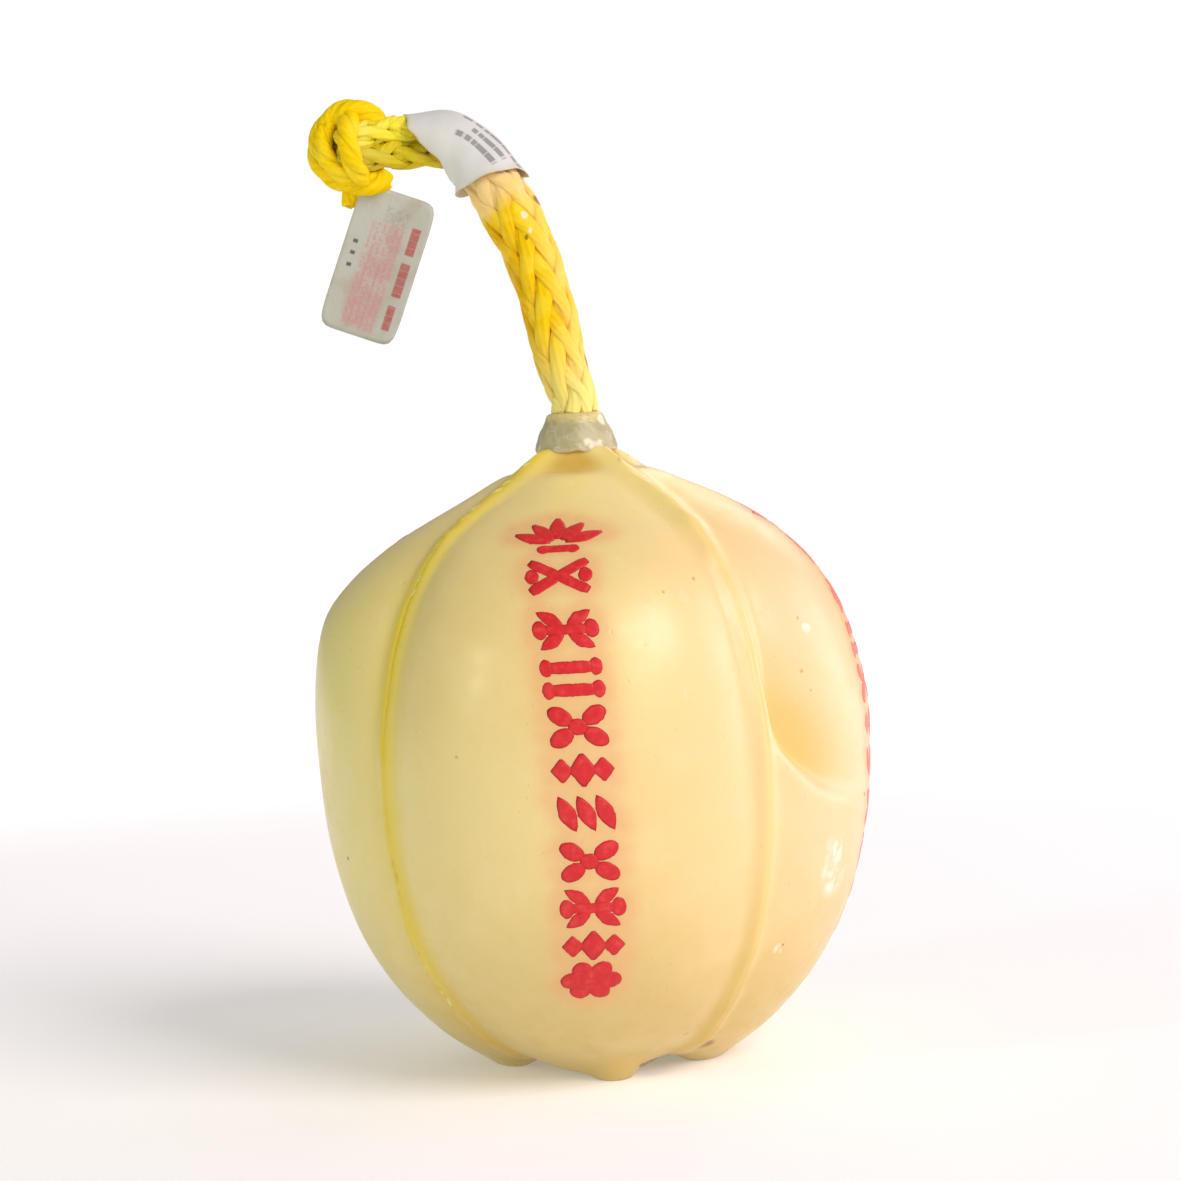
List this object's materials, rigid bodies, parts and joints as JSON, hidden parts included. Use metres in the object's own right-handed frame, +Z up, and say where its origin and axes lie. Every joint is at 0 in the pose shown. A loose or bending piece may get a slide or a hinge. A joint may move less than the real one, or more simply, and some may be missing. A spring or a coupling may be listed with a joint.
{
  "type": "provolone cheese",
  "caption": "Melon-shaped waxed provolone cheese, pressed into lobes by a rope sling, with a stiff plaited rope handle that ends in a knot and holds a tag.",
  "frame": {"origin": "on the floor under the middle of the body", "axes": "+Z up along the neck and the handle, -Y out of the front lobe, the handle leans over towards -X"},
  "size_m": [0.205, 0.205, 0.3609],
  "materials": {
    "wax_rind": "smooth satin wax over pale cheese",
    "sling_rope": "twisted twine soaked in wax",
    "clear_wax": "thick translucent wax, glossy",
    "handle_rope": "plaited rope, waxed",
    "knot_cord": "cord, waxed",
    "label_paper": "matt paper",
    "tag_plastic": "thin sheet, faded print"
  },
  "bodies": {
    "root": {"cheese_body": "wax_rind", "sling_rope_a": "sling_rope", "sling_rope_b": "sling_rope", "wax_collar": "clear_wax", "rope_handle": "handle_rope", "cord_upper": "knot_cord", "cord_lower": "knot_cord", "paper_label": "label_paper", "handle_knot": "knot_cord", "plastic_tag": "tag_plastic"}
  },
  "joints": []
}
